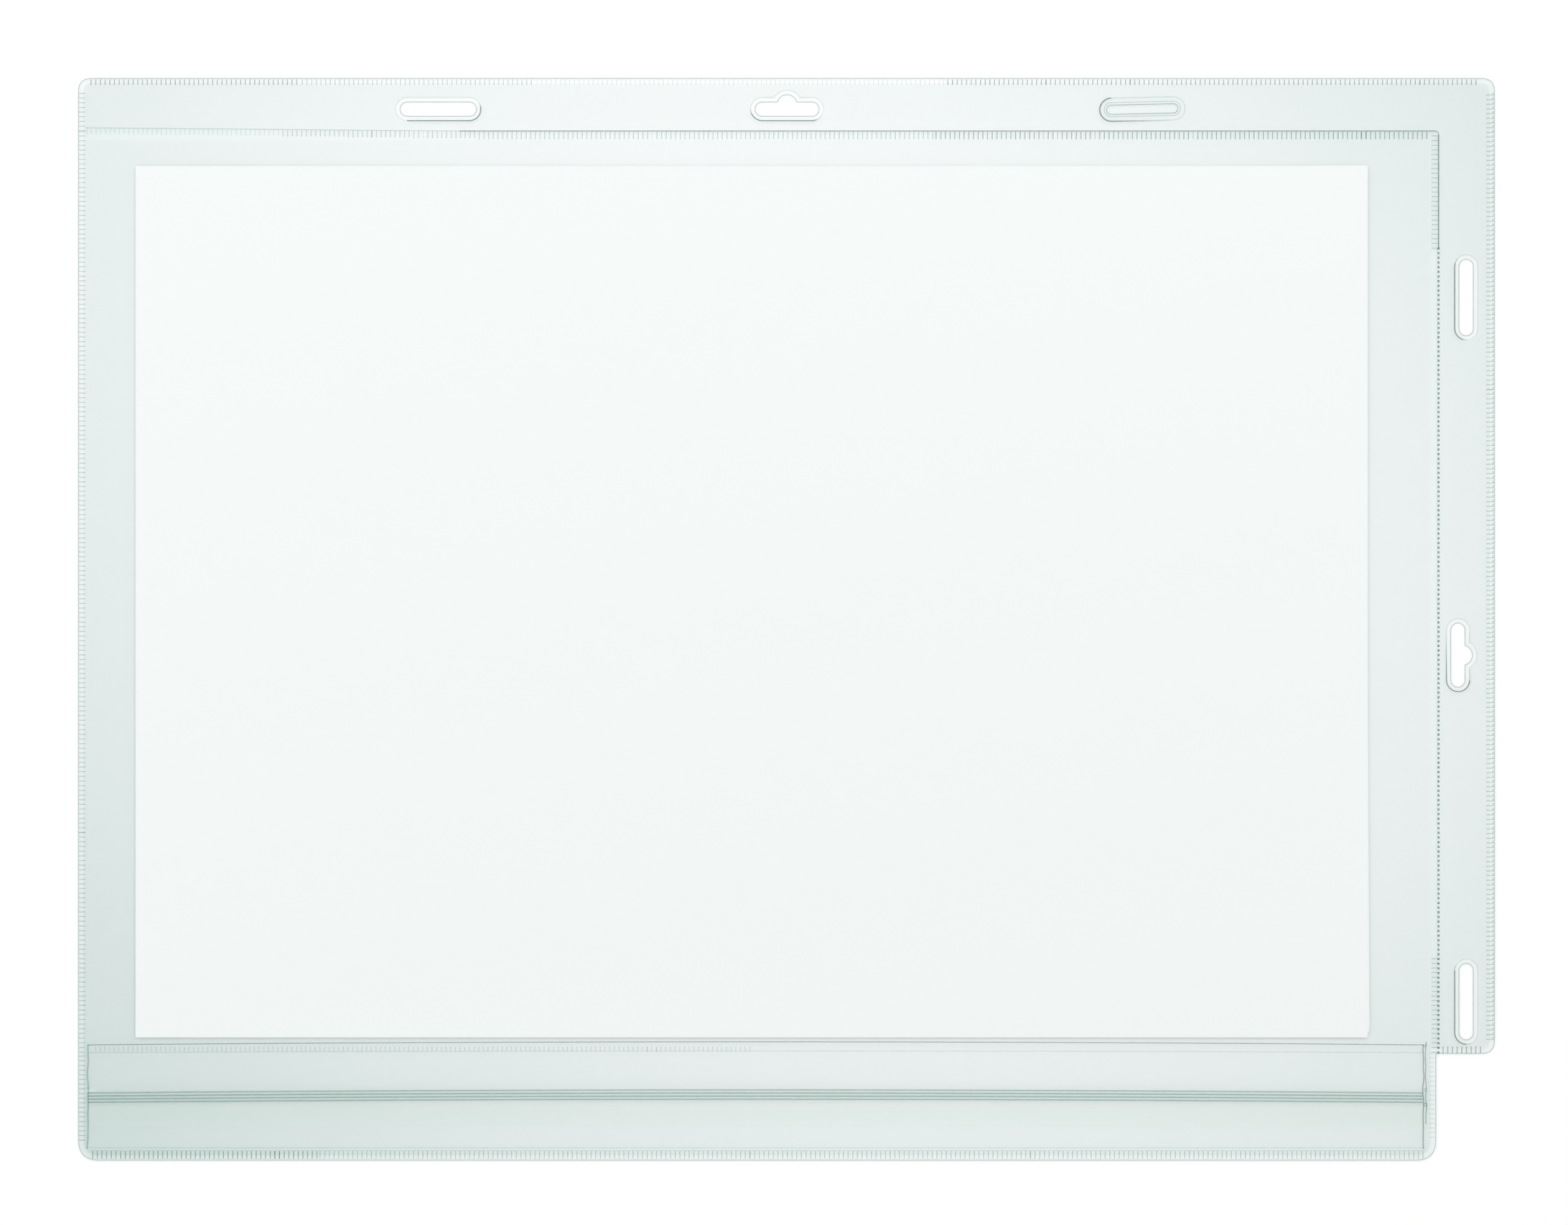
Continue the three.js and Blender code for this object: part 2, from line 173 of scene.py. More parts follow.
# %% [markdown]
# The clear film is darker towards the left and the foot. This is painted shade: a darker tint in the film
# behind, fitted to tones measured at several places. It grows with the square of the distance from the
# brightest place near the middle, slower along one slanting axis than across it, so the coordinates are
# turned and stretched before the distance is taken. Under the inner welds the film is melted to the front
# film, so a mask of two bands takes the mirror off there.

# %% Painted shade in the film behind
BRIGHTEST_PLACE = (7.6, 54.4)  # mm, the brightest place, where the painted shade is least
LONG_REACH, SHORT_REACH = 420.0, 333.0  # mm, where the painted shade is full
SHADE_TURN = math.radians(137)  # the direction of the long reach
WELD = 2.8  # mm, the melted band at the edges of the front film


def away_from_inner_welds(tree, place):
    axes = add_node(tree, "ShaderNodeSeparateXYZ", {}, [place.outputs["Object"]])
    bands = []
    for near, far, edge, end in (("X", "Y", FRONT_RIGHT, FRONT_TOP), ("Y", "X", FRONT_TOP, FRONT_RIGHT)):
        middle, half = (edge - WELD / 2) * MM, WELD / 2 * MM
        within, below = [axes.outputs[near], middle, half], [axes.outputs[far], end * MM]
        band = add_node(tree, "ShaderNodeMath", {"operation": "COMPARE"}, within)
        before = add_node(tree, "ShaderNodeMath", {"operation": "LESS_THAN"}, below)
        sides = [band.outputs[0], before.outputs[0]]
        bands.append(add_node(tree, "ShaderNodeMath", {"operation": "MULTIPLY"}, sides).outputs[0])
    weld = add_node(tree, "ShaderNodeMath", {"operation": "MAXIMUM"}, bands)
    return add_node(tree, "ShaderNodeMath", {"operation": "SUBTRACT"}, [1.0, weld.outputs[0]])


def backing_with_painted_shade(name, lit_tint, shaded_tint, mirror=True):
    material, tree = new_material(name)
    place = add_node(tree, "ShaderNodeTexCoord")
    centred = add_node(
        tree,
        "ShaderNodeMapping",
        {
            "vector_type": "TEXTURE",
            "Location": (BRIGHTEST_PLACE[0] * MM, BRIGHTEST_PLACE[1] * MM, 0),
            "Rotation": (0, 0, SHADE_TURN),
            "Scale": (LONG_REACH * MM, SHORT_REACH * MM, 1),
        },
        Vector=place.outputs["Object"],
    )
    # Painted shade: the backing's tint darkens with the squared, stretched distance from the brightest
    # place.
    square = add_node(tree, "ShaderNodeVectorMath", {"operation": "DOT_PRODUCT"}, [centred.outputs[0]] * 2)
    shade_mix = add_node(
        tree, "ShaderNodeMix", {"data_type": "RGBA", "clamp_factor": True}, [square.outputs["Value"]]
    )
    shade_mix.inputs[6].default_value = linear(lit_tint)
    shade_mix.inputs[7].default_value = linear(shaded_tint)
    clear = add_node(tree, "ShaderNodeBsdfTransparent", Color=shade_mix.outputs[2])
    if mirror:
        film_surface(tree, clear, 0.15, away_from_inner_welds(tree, place))
    else:
        add_node(tree, "ShaderNodeOutputMaterial", Surface=clear.outputs[0])
    return material


# Both backing finishes carry the painted shade, darker towards the left and the foot.
back_film_finish = backing_with_painted_shade("clear_soft_PVC_backing", "#FDFEFE", "#F0F5F4")
melted_backing = backing_with_painted_shade("clear_soft_PVC_backing_melted", "#FFFFFF", "#F6F9F8", mirror=False)
print("backing film:", back_film_finish.name)

# %% [markdown]
# Where film is cut or pressed into a line, light is bent aside and the line reads as a dark stroke.
# Real strokes run from faint to dark, so one recipe gives several finishes with a stronger tint each.
# A stroke is too narrow to show a mirror, so it has a Transparent shader alone. The tint counts twice
# on the way down to the floor and twice on the way up, so even the dark ones are pale here. Film that
# is melted to its neighbour has lost the two faces between them, and it looks brighter than loose film.

# %% Cut edges and pressed lines
def line_material(name, tint):
    material, tree = new_material(name)
    clear = add_node(tree, "ShaderNodeBsdfTransparent", {"Color": linear(tint)})
    add_node(tree, "ShaderNodeOutputMaterial", Surface=clear.outputs[0])
    return material


melted = line_material("clear_soft_PVC_melted_weld", "#FFFFFF")
edge_line = line_material("clear_soft_PVC_cut_rim", "#E5EBEA")
faint_line = line_material("clear_soft_PVC_faint_crease", "#F5F8F7")
soft_line = line_material("clear_soft_PVC_soft_crease", "#EBEFEE")
grey_line = line_material("clear_soft_PVC_weld_groove", "#DDE3E2")
dark_line = line_material("clear_soft_PVC_deep_groove", "#CCD3D2")
rail_line = line_material("clear_soft_PVC_rib_stem", "#DEE8E5")
LINES = [faint_line, soft_line, grey_line, dark_line, rail_line]
FAINT, SOFT, GREY, DARK, RAIL = range(len(LINES))
print("line finishes:", [m.name for m in LINES])

# %% [markdown]
# Paper is uncoated white office stock: fully matte, with no shine at all. Very fine fibre noise, drawn
# at 1.5 mm so that it can show, moves its white by a hair.

# %% Paper
FIBRE = 1.5  # mm


def paper_material():
    material, tree = new_material("white_uncoated_paper")
    place = add_node(tree, "ShaderNodeTexCoord")
    grain = {"Scale": 1 / (FIBRE * MM), "Detail": 3.0}
    fibre = add_node(tree, "ShaderNodeTexNoise", grain, Vector=place.outputs["Object"])
    tone = add_node(tree, "ShaderNodeMix", {"data_type": "RGBA"}, Factor=fibre.outputs[0])
    tone.inputs[6].default_value = linear("#F9FDFC")
    tone.inputs[7].default_value = linear("#FBFFFE")
    surface = add_node(
        tree,
        "ShaderNodeBsdfPrincipled",
        {"Roughness": 0.9, "Specular IOR Level": 0.15},
        Base_Color=tone.outputs[2],
    )
    add_node(tree, "ShaderNodeOutputMaterial", Surface=surface.outputs[0])
    return material


paper_finish = paper_material()
for node_name in ("insert_sheet_front", "insert_sheet_back"):
    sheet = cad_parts[node_name]
    sheet.data.materials.clear()
    sheet.data.materials.append(paper_finish)
print("paper on", [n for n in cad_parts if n.startswith("insert")])

# %% [markdown]
# Every new piece starts as a bmesh and ends as an object at the origin, so one function finishes them
# all: it turns millimetres to metres, points the faces outwards, and lets the piece ride on the body.

# %% Finishing a piece
def finish_piece(bm, name, finishes, replaces=(), smooth=False):
    bmesh.ops.remove_doubles(bm, verts=bm.verts, dist=0.0005)
    bmesh.ops.recalc_face_normals(bm, faces=bm.faces)
    bmesh.ops.scale(bm, vec=(MM, MM, MM), verts=bm.verts)
    mesh = bpy.data.meshes.new(name)
    bm.to_mesh(mesh)
    bm.free()
    for finish in finishes:
        mesh.materials.append(finish)
    for face in mesh.polygons:
        face.use_smooth = smooth
    if smooth:
        mesh.set_sharp_from_angle(angle=math.radians(30))
    piece = bpy.data.objects.new(name, mesh)
    bpy.context.collection.objects.link(piece)
    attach(piece, "root")
    if replaces:
        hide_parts(*replaces)
    print(name, "has", len(mesh.polygons), "faces")


# %% [markdown]
# A sheet of film with slots is one flat face with holes. The outlines are edge loops, triangle_fill
# fills between them, and inset_region draws rims along every cut edge, one inside the other: a hair
# line for the cut and a wider band for the weld. An extrusion gives the film its thickness.

# %% A flat film with holes
def rounded_outline(corners, steps=8):
    points = []
    for i, (x, y, radius) in enumerate(corners):
        here = Vector((x, y))
        before = (Vector(corners[i - 1][:2]) - here).normalized()
        after = (Vector(corners[(i + 1) % len(corners)][:2]) - here).normalized()
        if radius == 0:
            points.append(here)
            continue
        for k in range(steps + 1):
            t = k / steps
            start, end = here + before * radius, here + after * radius
            points.append(start * (1 - t) ** 2 + here * 2 * t * (1 - t) + end * t**2)
    return points


def add_loop(bm, points, z):
    verts = [bm.verts.new((p[0], p[1], z)) for p in points]
    return [bm.edges.new((verts[i - 1], verts[i])) for i in range(len(verts))]


def flat_film(outer, holes, z, thickness, rims):
    bm = bmesh.new()
    edges = add_loop(bm, outer, z)
    for hole in holes:
        edges += add_loop(bm, hole, z)
    bmesh.ops.triangle_fill(bm, use_beauty=True, use_dissolve=False, edges=edges, normal=(0, 0, 1))
    inner = bm.faces[:]
    for width, material in rims:
        result = bmesh.ops.inset_region(
            bm, faces=inner, thickness=width, use_boundary=True, use_even_offset=True
        )
        for face in result["faces"]:
            face.material_index = material
    shell = bmesh.ops.extrude_face_region(bm, geom=bm.faces[:])
    lifted = [v for v in shell["geom"] if isinstance(v, bmesh.types.BMVert)]
    bmesh.ops.translate(bm, vec=(0, 0, thickness), verts=lifted)
    return bm


# %% [markdown]
# The slots repeat the CAD ones: two plain slots and a notched one in each row. An outline is two half
# circles, with the arc of the notch between them, and the straight sides come by themselves. It can be
# grown by a margin, which gives the pressed rings.

# %% Slot outlines
SLOT_LENGTH, SLOT_WIDTH, EURO_LENGTH = 25.8, 4.6, 21.6
NOTCH_RADIUS, NOTCH_RISE = 3.3, 2.5
TOP_ROW, SIDE_COLUMN = TOP - 10.6, RIGHT - 9.8
SLOTS = [  # x, y, turn in degrees, notched, punched through both films
    (-118.7, TOP_ROW, 0, False, True),
    (0.2, TOP_ROW, 0, True, True),
    (121.3, TOP_ROW, 1.3, False, False),
    (SIDE_COLUMN, 109.7, -90.0, False, True),
    (RIGHT - 12.6, -12.2, -90, True, True),
    (SIDE_COLUMN, -130.3, -90.0, False, True),
]


def arc(x, y, radius, start, end, steps=12):
    turns = [start + (end - start) * k / steps for k in range(steps + 1)]
    return [(x + radius * math.cos(a), y + radius * math.sin(a)) for a in turns]


def slot_outline(slot, margin):
    x, y, turn, notched, _ = slot
    radius = SLOT_WIDTH / 2 + margin
    reach = (EURO_LENGTH if notched else SLOT_LENGTH) / 2 - SLOT_WIDTH / 2
    points = arc(reach, 0, radius, -math.pi / 2, math.pi / 2)
    if notched:
        notch, middle = NOTCH_RADIUS + margin, SLOT_WIDTH / 2 + NOTCH_RISE - NOTCH_RADIUS
        shoulder = math.asin((radius - middle) / notch)
        points += arc(0, middle, notch, shoulder, math.pi - shoulder)
    points += arc(-reach, 0, radius, math.pi / 2, 3 * math.pi / 2)
    spin = Matrix.Rotation(math.radians(turn), 2)
    return [Vector((x, y)) + spin @ Vector(p) for p in points]


print("slots:", len(SLOTS))

# %% [markdown]
# The backing film is one cut piece with the flange and the notch below it. Touching films are kept
# 0.02 mm or more apart, because two clear faces in the same place would flicker.

# %% The backing film
FILM = 0.23  # mm, the film's thickness
APART = 0.02  # mm, between touching films
LAYER = 0.27  # mm, where the second layer of film starts
CUT_RIM, WELD_RIM = 0.3, 1.5  # mm, the cut edge and the band melted beside it
outline = rounded_outline(
    [
        (LEFT, BOTTOM, 7),
        (FOOT_RIGHT, BOTTOM, 7),
        (FOOT_RIGHT, NOTCH_TOP, 0),
        (RIGHT, NOTCH_TOP, 4.5),
        (RIGHT, TOP, 4.5),
        (LEFT, TOP, 4.5),
    ]
)
through = [slot_outline(s, 0) for s in SLOTS if s[4]]
finish_piece(
    flat_film(outline, through, 0.0, FILM, [(CUT_RIM, 1), (WELD_RIM, 2)]),
    "backing_film",
    [back_film_finish, edge_line, melted_backing],
    ["back_sheet"],
)

# %% [markdown]
# The flange's second film lies 0.5 mm inside the first one's edge, so the photograph shows two fine
# edges. It stops at the cut beside the front film. Along its edges and round the slots a band is
# melted to the film below.

# %% The flange film
EDGE_STEP = 0.5  # mm
CUT_GAP = 0.3  # mm, the cut beside the front film
RING = 1.6  # mm, the melted band
flange_outline = rounded_outline(
    [
        (LEFT + 0.1, FRONT_TOP + CUT_GAP, 0),
        (FRONT_RIGHT + CUT_GAP, FRONT_TOP + CUT_GAP, 1.6),
        (FRONT_RIGHT + CUT_GAP, NOTCH_TOP + 0.05, 0),
        (RIGHT - EDGE_STEP, NOTCH_TOP + 0.05, 4.2),
        (RIGHT - EDGE_STEP, TOP - EDGE_STEP, 4.2),
        (LEFT + 0.1, TOP - EDGE_STEP, 4.2),
    ]
)
finish_piece(
    flat_film(flange_outline, [slot_outline(s, 0.02) for s in SLOTS], LAYER, FILM, [(RING, 1)]),
    "flange_film",
    [front_film_finish, melted],
    ["flange_facing"],
)

# %% [markdown]
# Round each slot a ring has pressed the films together. Its outer edge is a groove that reads as a stroke.
# One side of each ring is darker, and a direction given for each slot says which side. The unpunched slot
# keeps the film below, so it has two inner strokes too.

# %% Pressed rings
DARK_SIDES = [(0.25, -1), (-0.1, -1), (-0.7, -0.7), (-1, -0.1), (-0.6, -0.6), (-1, -0.2)]


def ring_band(bm, slot, inner, outer, z, shade, dark_side=None):
    edges = add_loop(bm, slot_outline(slot, outer), z) + add_loop(bm, slot_outline(slot, inner), z)
    filled = bmesh.ops.triangle_fill(bm, use_beauty=True, use_dissolve=False, edges=edges, normal=(0, 0, 1))
    faces = [f for f in filled["geom"] if isinstance(f, bmesh.types.BMFace)]
    for face in faces:
        face.material_index = shade
        if dark_side:
            away = (face.calc_center_median().xy - Vector(slot[:2])).dot(Vector(dark_side))
            face.material_index = DARK if away > 2.6 else SOFT if away > 1.2 else FAINT
    shell = bmesh.ops.extrude_face_region(bm, geom=faces)
    lifted = [v for v in shell["geom"] if isinstance(v, bmesh.types.BMVert)]
    bmesh.ops.translate(bm, vec=(0, 0, STROKE_HEIGHT), verts=lifted)


FLANGE_FACE = LAYER + FILM + APART
STROKE_HEIGHT = 0.05  # mm
bm = bmesh.new()
for slot, dark_side in zip(SLOTS, DARK_SIDES):
    ring_band(bm, slot, RING - 0.15, RING + 0.25, FLANGE_FACE, FAINT, dark_side)
unpunched = SLOTS[2]
ring_band(bm, unpunched, 0.0, 0.25, FLANGE_FACE, SOFT)
ring_band(bm, unpunched, -0.85, -0.6, LAYER, GREY)
finish_piece(bm, "pressed_rings", LINES)

# %% [markdown]
# The front film is a grid of small faces. It is flat in its welds, rises softly over the paper, and
# keeps the slow waves of film that has been rolled: less than a quarter of a millimetre high. A grid
# with a height for each point is the plainest way to get such waves.

# %% The front film
RISE = 8.0  # mm over which it rises from a weld
CELL = 4.0  # mm, the grid's faces
WAVE = 0.1  # mm, the height of the waves
HIGH_LEVEL = PAPER_TOP + 0.03


def smoothstep(t):
    t = min(max(t, 0.0), 1.0)
    return t * t * (3 - 2 * t)


def front_height(x, y):
    inside = min(x - LEFT - WELD, FRONT_RIGHT - WELD - x, FRONT_TOP - WELD - y)
    lift = smoothstep(inside / RISE)
    wave = noise.noise(Vector((x / 70, y / 90, 3.1))) + 0.5 * noise.noise(Vector((x / 30, y / 45, 8.4)))
    foot = smoothstep((y - FRONT_LOW - 4) / 30)
    return LAYER + lift * (HIGH_LEVEL - LAYER + WAVE * foot * (wave + 0.9))


bm = bmesh.new()
columns = round((FRONT_RIGHT - LEFT) / CELL)
rows = round((FRONT_TOP - FRONT_LOW) / CELL)
bmesh.ops.create_grid(bm, x_segments=columns, y_segments=rows, size=0.5)
bmesh.ops.scale(bm, vec=(FRONT_RIGHT - LEFT - 0.2, FRONT_TOP - FRONT_LOW, 1), verts=bm.verts)
middle = Vector(((FRONT_RIGHT + LEFT + 0.2) / 2, (FRONT_TOP + FRONT_LOW) / 2, 0))
bmesh.ops.translate(bm, vec=middle, verts=bm.verts)
rim = bmesh.ops.inset_region(bm, faces=bm.faces[:], thickness=WELD, use_boundary=True, use_even_offset=True)
for face in rim["faces"]:
    face.material_index = 1
for vert in bm.verts:
    vert.co.z = front_height(vert.co.x, vert.co.y)
bmesh.ops.recalc_face_normals(bm, faces=bm.faces)
shell = bmesh.ops.extrude_face_region(bm, geom=bm.faces[:])
lifted = [v for v in shell["geom"] if isinstance(v, bmesh.types.BMVert)]
bmesh.ops.translate(bm, vec=(0, 0, FILM), verts=lifted)
print("front film rises to", round(max(v.co.z for v in bm.verts), 2), "mm")
finish_piece(
    bm, "front_film", [front_film_finish, melted], ["front_sheet"], smooth=True
)

# %% [markdown]
# The press seal is two extruded strips. The lower one lies on the backing film and the upper one
# arches over the ribs and ends in the lip that a finger lifts. The lower strip is flat film. The upper
# one is a section of a few points that is carried along the pocket in steps, as it is extruded in the
# factory, so that its ends can be pressed flat and its middle can bow.

# %% The seal strips
SEAL_Y = BOTTOM + 21.5  # the middle of the ribs
SEAL_LEFT, SEAL_RIGHT = LEFT + 3.4, FOOT_RIGHT - 4.5
END_RUN = 3.0  # mm over which the strip flattens into the side weld
BOW = 1.05  # mm, how far the soft strip bows up at the middle
STRIP_EDGE = UPPER_EDGE - 0.4  # its upper edge at the ends


def bowed(x):
    half = (SEAL_RIGHT - SEAL_LEFT) / 2
    return BOW * max(0.0, 1 - ((x - SEAL_LEFT - half) / half) ** 2)


def swept_strip(section, x_low, x_high, steps, flat_level):
    bm = bmesh.new()
    verts = [bm.verts.new((x_low, y, z)) for y, z in section]
    face = bm.faces.new(verts)
    geometry = [face]
    for _ in range(steps):
        shell = bmesh.ops.extrude_face_region(bm, geom=geometry)
        moved = [v for v in shell["geom"] if isinstance(v, bmesh.types.BMVert)]
        geometry = [f for f in shell["geom"] if isinstance(f, bmesh.types.BMFace)]
        bmesh.ops.translate(bm, vec=((x_high - x_low) / steps, 0, 0), verts=moved)
    for vert in bm.verts:
        nearest_end = min(vert.co.x - x_low, x_high - vert.co.x)
        press = 1 - smoothstep(nearest_end / END_RUN)
        vert.co.z += press * (flat_level(vert.co.y, vert.co.z) - vert.co.z)
        vert.co.y += bowed(vert.co.x)
    return bm


lower_outline = rounded_outline(
    [
        (LEFT + 0.1, BOTTOM + 0.5, 6.8),
        (FOOT_RIGHT - 0.1, BOTTOM + 0.5, 6.8),
        (FOOT_RIGHT - 0.1, LOWER_EDGE, 0),
        (LEFT + 0.1, LOWER_EDGE, 0),
    ]
)
finish_piece(
    flat_film(lower_outline, [], LAYER, FILM, [(WELD, 1)]),
    "lower_seal_film",
    [lower_strip_finish, melted],
    ["lower_seal_strip"],
)

# %% [markdown]
# The upper strip's section: it lies on the front film, rises over the ribs and comes down on the
# lower strip. Its top side repeats the points one film higher. The faces below the ribs are the lip.

# %% The upper strip
STRIP = 0.24  # mm, the strip's thickness
over_front = HIGH_LEVEL + FILM + 0.03
over_lower = LAYER + FILM + APART
arch = SEAL_TOP - STRIP - 0.01
under = [
    (LIP + 0.1, over_lower),
    (SEAL_Y - 7.0, over_lower),
    (SEAL_Y - 4.2, over_lower + 0.25),
    (SEAL_Y - 2.8, arch - 0.12),
    (SEAL_Y - 1.9, arch),
    (SEAL_Y + 1.9, arch),
    (SEAL_Y + 2.9, arch - 0.12),
    (SEAL_Y + 4.2, over_front + 0.15),
    (SEAL_Y + 7.0, over_front),
    (STRIP_EDGE, over_front),
]
section = under + [(y, z + STRIP) for y, z in reversed(under)]


def flat_upper(y, z):
    top_side = any(abs(z - zz - STRIP) < 1e-3 and abs(y - yy) < 1e-3 for yy, zz in under)
    return over_lower + APART + (STRIP if top_side else 0.0)


bm = swept_strip(section, SEAL_LEFT - 0.4, SEAL_RIGHT + 1.2, 154, flat_upper)
for face in bm.faces:
    if face.calc_center_median().y < SEAL_Y - 4:
        face.material_index = 1
finish_piece(
    bm,
    "upper_seal_film",
    [strip_film_finish, lip_finish],
    ["upper_seal_strip"],
    smooth=True,
)

# %% [markdown]
# The ribs lock into each other between the strips. From above each stem is a dark stroke. Long strokes
# follow the bow of the strip, so they are ribbons along a row of points. Short ones are plain bars.

# %% The ribs
def add_bar(bm, low, high, shade):
    size = Vector(high) - Vector(low)
    place = Matrix.Translation((Vector(low) + Vector(high)) / 2) @ Matrix.Diagonal((*size, 1))
    made = bmesh.ops.create_cube(bm, size=1, matrix=place)
    for face in {f for v in made["verts"] for f in v.link_faces}:
        face.material_index = shade


def add_ribbon(bm, points, width, z, height, shade):
    sides = []
    for i, here in enumerate(points):
        along = Vector(points[min(i + 1, len(points) - 1)]) - Vector(points[max(i - 1, 0)])
        across = Vector((-along.y, along.x)).normalized() * width / 2
        sides.append([bm.verts.new((*(Vector(here) + s * across), z)) for s in (1, -1)])
    faces = [bm.faces.new((a[0], a[1], b[1], b[0])) for a, b in zip(sides, sides[1:])]
    for face in faces:
        face.material_index = shade
    shell = bmesh.ops.extrude_face_region(bm, geom=faces)
    lifted = [v for v in shell["geom"] if isinstance(v, bmesh.types.BMVert)]
    bmesh.ops.translate(bm, vec=(0, 0, height), verts=lifted)


def across_pocket(y, x_low, x_high, bow=1.0, steps=48):
    places = [x_low + (x_high - x_low) * k / steps for k in range(steps + 1)]
    return [(x, y + bow * bowed(x)) for x in places]


RIB_PITCH, STEM = 1.06, 0.42  # mm
bm = bmesh.new()
for k in range(4):
    y = SEAL_Y + (k - 1.5) * RIB_PITCH
    low, high = (over_lower, arch - 0.3) if k % 2 == 0 else (over_lower + 0.25, arch - 0.02)
    add_ribbon(bm, across_pocket(y, SEAL_LEFT, SEAL_RIGHT), STEM, low, high - low, RAIL)
finish_piece(bm, "seal_ribs", LINES)

# %% [markdown]
# Each weld is a ladder of strokes 1.6 mm apart across a bright band, as a bar with fine teeth presses.
# A stroke is a small bar with six faces, because there are over a thousand. Slow noise moves some
# strokes a shade up or down, as pressing is never quite even. Each ladder is a row of a table: where
# it starts and ends, the two sides of its band, its level and its shade.

# %% The weld ladders
PITCH, STROKE = 1.593, 0.34  # mm
BITTEN_BELOW = FRONT_TOP - 40  # where the smooth cut beside the ladder turns to single bites
bm = bmesh.new()
counts = [0] * len(LINES)


def ladder(start, end, low, high, z, usual, upright=False):
    place = start
    while place < end:
        slow = noise.noise(Vector((place / 9, low / 5, 2.7)))
        change = slow + 0.6 * noise.noise(Vector((place, low, 5.5)))
        shade = usual + (1 if change > 0.75 else -1 if change < -0.8 else 0)
        shade = min(max(shade, FAINT), DARK)
        a, b = place - STROKE / 2, place + STROKE / 2
        if upright:
            add_bar(bm, (low, a, z), (high, b, z + STROKE_HEIGHT), shade)
        else:
            add_bar(bm, (a, low, z), (b, high, z + STROKE_HEIGHT), shade)
        counts[shade] += 1
        place += PITCH


FRONT_FILM_FACE = LAYER + FILM + APART
FOOT_FACE = over_lower + STRIP + 0.05
top_z = over_front + STRIP + APART
TOP_BAND = (TOP - 2.35, TOP - 0.5, FLANGE_FACE)
INNER_BAND = (FRONT_TOP - 2.9, FRONT_TOP - 0.3, FRONT_FILM_FACE)
FOOT_BAND = (BOTTOM + 0.7, BOTTOM + 3.3, over_lower)
run = 14 * PITCH
climb_end = LEFT + 3 + 6 * run
for row in (
    (LEFT + 4.5, -165.5, *TOP_BAND, GREY),
    (-165, -85.5, *TOP_BAND, SOFT),
    (-85, 54.5, *TOP_BAND, FAINT),
    (55, RIGHT - 5, *TOP_BAND, GREY),
    (climb_end, 50, *INNER_BAND, SOFT),
    (51, FRONT_RIGHT - 2.8, *INNER_BAND, GREY),
    (LEFT + 5, -160, *FOOT_BAND, GREY),
    (-159, FOOT_RIGHT - 4, *FOOT_BAND, SOFT),
    (FRONT_RIGHT + 1.3, RIGHT - 4, NOTCH_TOP + 0.2, NOTCH_TOP + 2.5, FLANGE_FACE, GREY),
    (LEFT + 6, LEFT + 230, FRONT_LOW + 0.2, FRONT_LOW + 1.9, top_z, FAINT),
):
    ladder(*row)
for k in range(6):  # towards the left the inner weld climbs by a millimetre
    climb = 1.0 - k / 6
    start, end = LEFT + 3 + k * run, LEFT + 2.9 + (k + 1) * run
    low, high = FRONT_TOP - 2.1 - 0.12 * k + climb, FRONT_TOP - 0.3 + climb
    ladder(start, end, low, high, FRONT_FILM_FACE, FAINT if k < 3 else SOFT)
LEFT_BAND = (LEFT + 0.35, LEFT + 2.5)
RIGHT_BAND = (FRONT_RIGHT - 2.7, FRONT_RIGHT - 0.4, FRONT_FILM_FACE)
for row in (
    (FRONT_TOP, TOP - 4.5, LEFT + 0.35, LEFT + 2.3, FLANGE_FACE, SOFT),
    (FRONT_LOW, FRONT_TOP, *LEFT_BAND, FRONT_FILM_FACE, SOFT),
    (BOTTOM + 7, FRONT_LOW, *LEFT_BAND, FOOT_FACE, SOFT),
    (NOTCH_TOP + 5, TOP - 4.5, RIGHT - 3.0, RIGHT - 0.8, FLANGE_FACE, SOFT),
    (FRONT_LOW, FRONT_LOW + 32, *RIGHT_BAND, SOFT),
    (BITTEN_BELOW, FRONT_TOP - 1.6, *RIGHT_BAND, SOFT),
    (BOTTOM + 8, FRONT_LOW, FOOT_RIGHT - 2.4, FOOT_RIGHT - 0.5, FOOT_FACE, FAINT),
):
    ladder(*row, upright=True)
print("weld strokes:", sum(counts), "by shade:", counts)
finish_piece(bm, "weld_ladders", LINES)

# %% [markdown]
# The long strokes come last: the cut between the front film and the flange, the edges of the strips,
# and the fine lines of the foot weld. Most of the upright part of the cut shows as a row of short
# bites at the pitch of the ladder, as a toothed tool might leave. At its ends the soft strip meets the
# side welds, where its end lines wander and carry a few flat blobs.

